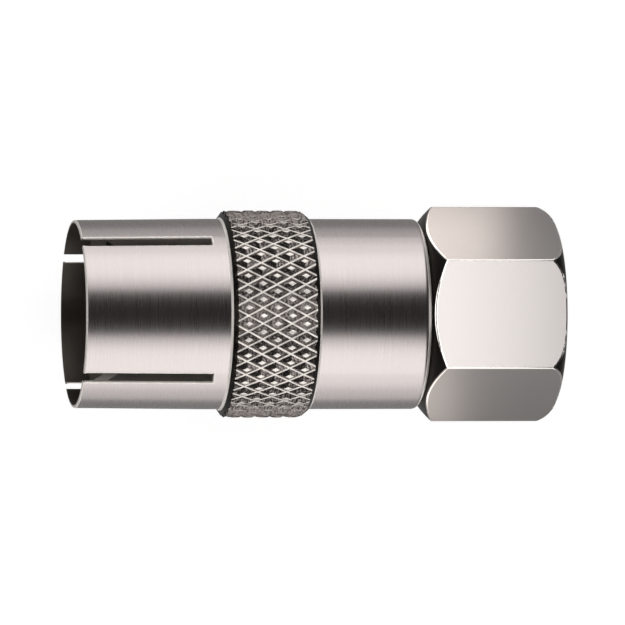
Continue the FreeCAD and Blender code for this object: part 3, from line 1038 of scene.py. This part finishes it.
class ADAPTER_OT_stage(bpy.types.Operator):
    """Make the floor, the lamps and the camera"""
    bl_idname = "adapter.stage"
    bl_label = "Stage"

    def execute(self, context):
        scene = context.scene
        scene.view_settings.view_transform = "Standard"
        self.floor(scene)
        self.world(scene)
        self.lamps(scene)
        self.camera(scene)
        return {"FINISHED"}

    def floor(self, scene):
        """Grey paper with a glow that only the camera sees in full, which makes it white. Near the adapter
        the glow stays a little under white, so that the shadow shows, and in mirroring metal it is dim."""
        z, reach = cad_low[2], 3.0
        near, far, near_white, mirrored_white = 28 * MM, 48 * MM, 0.85, 0.12
        mesh = bpy.data.meshes.new("floor")
        corners = [(-reach, -reach, z), (reach, -reach, z), (reach, reach, z), (-reach, reach, z)]
        mesh.from_pydata(corners, [], [(0, 1, 2, 3)])
        paper, tree = new_material("white_paper")

        def maths(operation, a, b):
            return (add_node(tree, "ShaderNodeMath", {"operation": operation}, n0=a, n1=b), 0)

        path = add_node(tree, "ShaderNodeLightPath")
        mirrored = maths("MAXIMUM", (path, "Is Glossy Ray"), (path, "Is Transmission Ray"))
        spot = add_node(tree, "ShaderNodeTexCoord")
        away = add_node(
            tree, "ShaderNodeVectorMath", {"operation": "DISTANCE"}, n0=(spot, "Object"),
            n1=((cad_low[0] + cad_high[0]) / 2, 0.0, z))
        white = add_node(
            tree, "ShaderNodeMapRange", Value=(away, "Value"), From_Min=near, From_Max=far,
            To_Min=near_white, To_Max=1.0)
        direct = maths("MULTIPLY", (path, "Is Camera Ray"), (white, "Result"))
        lift = maths("MAXIMUM", maths("MULTIPLY", mirrored, mirrored_white), direct)
        matt = add_node(tree, "ShaderNodeBsdfDiffuse", Color=linear("#A4A4A4"))
        glow = add_node(tree, "ShaderNodeEmission", Color=(1.0, 1.0, 1.0, 1.0), Strength=lift)
        finish_material(tree, add_node(tree, "ShaderNodeAddShader", n0=(matt, 0), n1=(glow, 0)))
        mesh.materials.append(paper)
        in_scene("floor", mesh)

    def world(self, scene):
        """White to the camera. To everything else it is pale near the horizon and dark above."""
        horizon, pale, dark = 0.08, 0.35, 0.01
        world = bpy.data.worlds.new("studio")
        scene.world = world
        world.use_nodes = True
        tree = world.node_tree
        tree.nodes.clear()
        place = add_node(tree, "ShaderNodeTexCoord")
        height = add_node(tree, "ShaderNodeSeparateXYZ", Vector=(place, "Generated"))
        shade_at = add_node(
            tree, "ShaderNodeMapRange", Value=(height, "Z"), From_Min=0.0, From_Max=horizon, To_Min=pale,
            To_Max=dark)
        path = add_node(tree, "ShaderNodeLightPath")
        shown = add_node(
            tree, "ShaderNodeMath", {"operation": "MAXIMUM"}, n0=(shade_at, "Result"),
            n1=(path, "Is Camera Ray"))
        back = add_node(tree, "ShaderNodeBackground", Strength=1.0, Color=(shown, 0))
        output = tree.nodes.new("ShaderNodeOutputWorld")
        tree.links.new(back.outputs[0], output.inputs["Surface"])

    def lamp(self, name, place, aim, size, glow, pieces=None, tint=(1.0, 1.0, 1.0)):
        """A rectangular lamp whose face shows that glow, aimed at a point, hidden from the camera. Places
        and sizes are in mm. Where pieces are given, it lights only those."""
        width, height = (side * MM for side in size)
        light = bpy.data.lights.new(name, "AREA")
        light.shape = "RECTANGLE"
        light.size, light.size_y = width, height
        light.energy = glow * math.pi * width * height
        light.color = tint
        lamp = in_scene(name, light)
        lamp.location = Vector(place) * MM
        lamp.rotation_mode = "QUATERNION"
        lamp.rotation_quaternion = (Vector(aim) - Vector(place)).to_track_quat("-Z", "Y")
        lamp.visible_camera = False
        if pieces:
            lamp.light_linking.receiver_collection = pieces

    def group(self, scene, name, *starts):
        """A collection of the pieces whose names start so."""
        group = bpy.data.collections.new(name)
        for piece in scene.objects:
            if piece.type == "MESH" and piece.name.startswith(starts):
                group.objects.link(piece)
        return group

    def lamps(self, scene):
        body = self.group(scene, "body_pieces", "outer_body")
        grip = self.group(scene, "grip_pieces", "grip")
        nut = self.group(scene, "nut_pieces", "coupling_nut")
        beads = self.group(scene, "bead_pieces", "socket_bead", "plug_bead")
        metals = self.group(scene, "inner_metal_pieces", "socket_contact", "centre_pin", "ferrule")
        self.walls()
        self.floor_cards(body)
        self.far_lamps(grip, beads, metals)
        self.nut_lamps(nut)

    def walls(self):
        """Long walls of light along both sides, each with a brighter core, which draw the bands on barrel
        and tail."""
        floor, middle, width = cad_low[2] / MM, 20.0, 60.0

        def beyond(away, degrees):
            return away / math.tan(math.radians(degrees))

        for name, side, away, low, high, glow in (
            ("wall_back", 1, 50.0, floor, beyond(50.0, 29.0), 1.25),
            ("wall_front", -1, 50.0, floor, beyond(50.0, 26.0), 1.25),
            ("core_back", 1, 48.0, beyond(48.0, 75.0), beyond(48.0, 41.0), 0.46),
            ("core_front", -1, 48.0, beyond(48.0, 78.0), beyond(48.0, 38.0), 0.48),
        ):
            height = (low + high) / 2
            self.lamp(name, (middle, side * away, height), (middle, 0, height), (width, high - low), glow)

    def floor_cards(self, body):
        """Low cards beside the body, which light its sides low down."""
        floor, middle, width, depth = cad_low[2] / MM, 20.0, 60.0, 26.0
        for name, side, glow in (("floor_back", 1, 0.28), ("floor_front", -1, 0.56)):
            place, aim = (middle, 22 * side, floor + 1), (middle, 18 * side, 20)
            self.lamp(name, place, aim, (width, depth), glow, body)

    def far_lamps(self, grip, beads, metals):
        """Lamps at one distance from the adapter's middle, each in its direction: for both ends, for what
        shows inside them, and for the knurl."""
        centre, distance = Vector((14.2, 0, 0)), 130.0
        left, right, wide = (-0.97, 0.0, 0.24), (0.97, 0.0, 0.24), (90, 60)
        for name, direction, size, glow, pieces in (
            ("end_left", (-0.87, 0.0, 0.49), (60, 50), 3.4, None),
            ("end_right", (0.95, 0.0, 0.31), (60, 35), 2.4, None),
            ("bead_left", left, wide, 8.0, beads),
            ("bead_right", right, wide, 8.0, beads),
            ("inner_left", left, wide, 1.5, metals),
            ("inner_right", right, wide, 1.5, metals),
            ("knurl_side", (0.48, 0.0, 0.877), (80, 50), 2.4, grip),
            ("knurl_top", (0.16, 0.0, 0.987), (40, 50), 4.2, grip),
        ):
            self.lamp(name, centre + Vector(direction) * distance, centre, size, glow, pieces)

    def nut_lamps(self, nut):
        """One lamp over the nut's top flat, and two small warm ones low beside it, for the flats next to
        that."""
        white, warm = (1.0, 1.0, 1.0), (1.0, 0.93, 0.88)
        for name, place, aim, size, glow, tint in (
            ("nut_overhead", (19, 0, 45), (23, 0, 0), (42, 36), 3.25, white),
            ("nut_back", (21.3, 17, -3), (24.5, 5, 3), (13, 8), 2.35, warm),
            ("nut_front", (20, -17, -3), (24.5, -5, 3), (10, 8), 1.4, warm),
        ):
            self.lamp(name, place, aim, size, glow, nut, tint)

    def camera(self, scene):
        """Looks down on the adapter from far away, tilted to show the mouth."""
        tilt = math.radians(9.3)
        away, frame_width = 0.6, 36.83 * MM
        middle = Vector((14.22 * MM, 0.09 * MM, 0))
        data = bpy.data.cameras.new("camera")
        data.lens = data.sensor_width * away / frame_width
        data.clip_start, data.clip_end = 0.05, 10.0
        camera = in_scene("camera", data)
        camera.location = middle + Vector((-math.sin(tilt), 0, math.cos(tilt))) * away
        camera.rotation_euler = (0, -tilt, 0)
        scene.camera = camera


SETTINGS = {
    "adapter_body": BodySizes, "adapter_knurl": KnurlSizes, "adapter_nut": NutSizes,
    "adapter_inside": InsideSizes, "adapter_colours": FinishColours,
}
OPERATORS = (ADAPTER_OT_body, ADAPTER_OT_knurl, ADAPTER_OT_nut, ADAPTER_OT_inside, ADAPTER_OT_stage)


class ADAPTER_PT_pieces(bpy.types.Panel):
    """Lists the pieces to make, and the sizes and colours they are made with"""
    bl_idname = "ADAPTER_PT_pieces"
    bl_label = "Coaxial Adapter"
    bl_space_type = "VIEW_3D"
    bl_region_type = "UI"
    bl_category = "Adapter"

    def draw(self, context):
        pieces = self.layout.column(align=True)
        for item in OPERATORS:
            pieces.operator(item.bl_idname, text=item.bl_label)
        for setting, group in SETTINGS.items():
            box = self.layout.box()
            values = getattr(context.scene, setting)
            for name in group.__annotations__:
                box.prop(values, name)


CLASSES = tuple(SETTINGS.values()) + OPERATORS + (ADAPTER_PT_pieces,)


def register():
    for item in CLASSES:
        bpy.utils.register_class(item)
    for name, group in SETTINGS.items():
        setattr(bpy.types.Scene, name, PointerProperty(type=group))


def unregister():
    for name in SETTINGS:
        delattr(bpy.types.Scene, name)
    for item in reversed(CLASSES):
        bpy.utils.unregister_class(item)


def main():
    register()
    bpy.ops.adapter.body()
    bpy.ops.adapter.knurl()
    bpy.ops.adapter.nut()
    bpy.ops.adapter.inside()
    bpy.ops.adapter.stage()


if __name__ == "__main__":
    main()
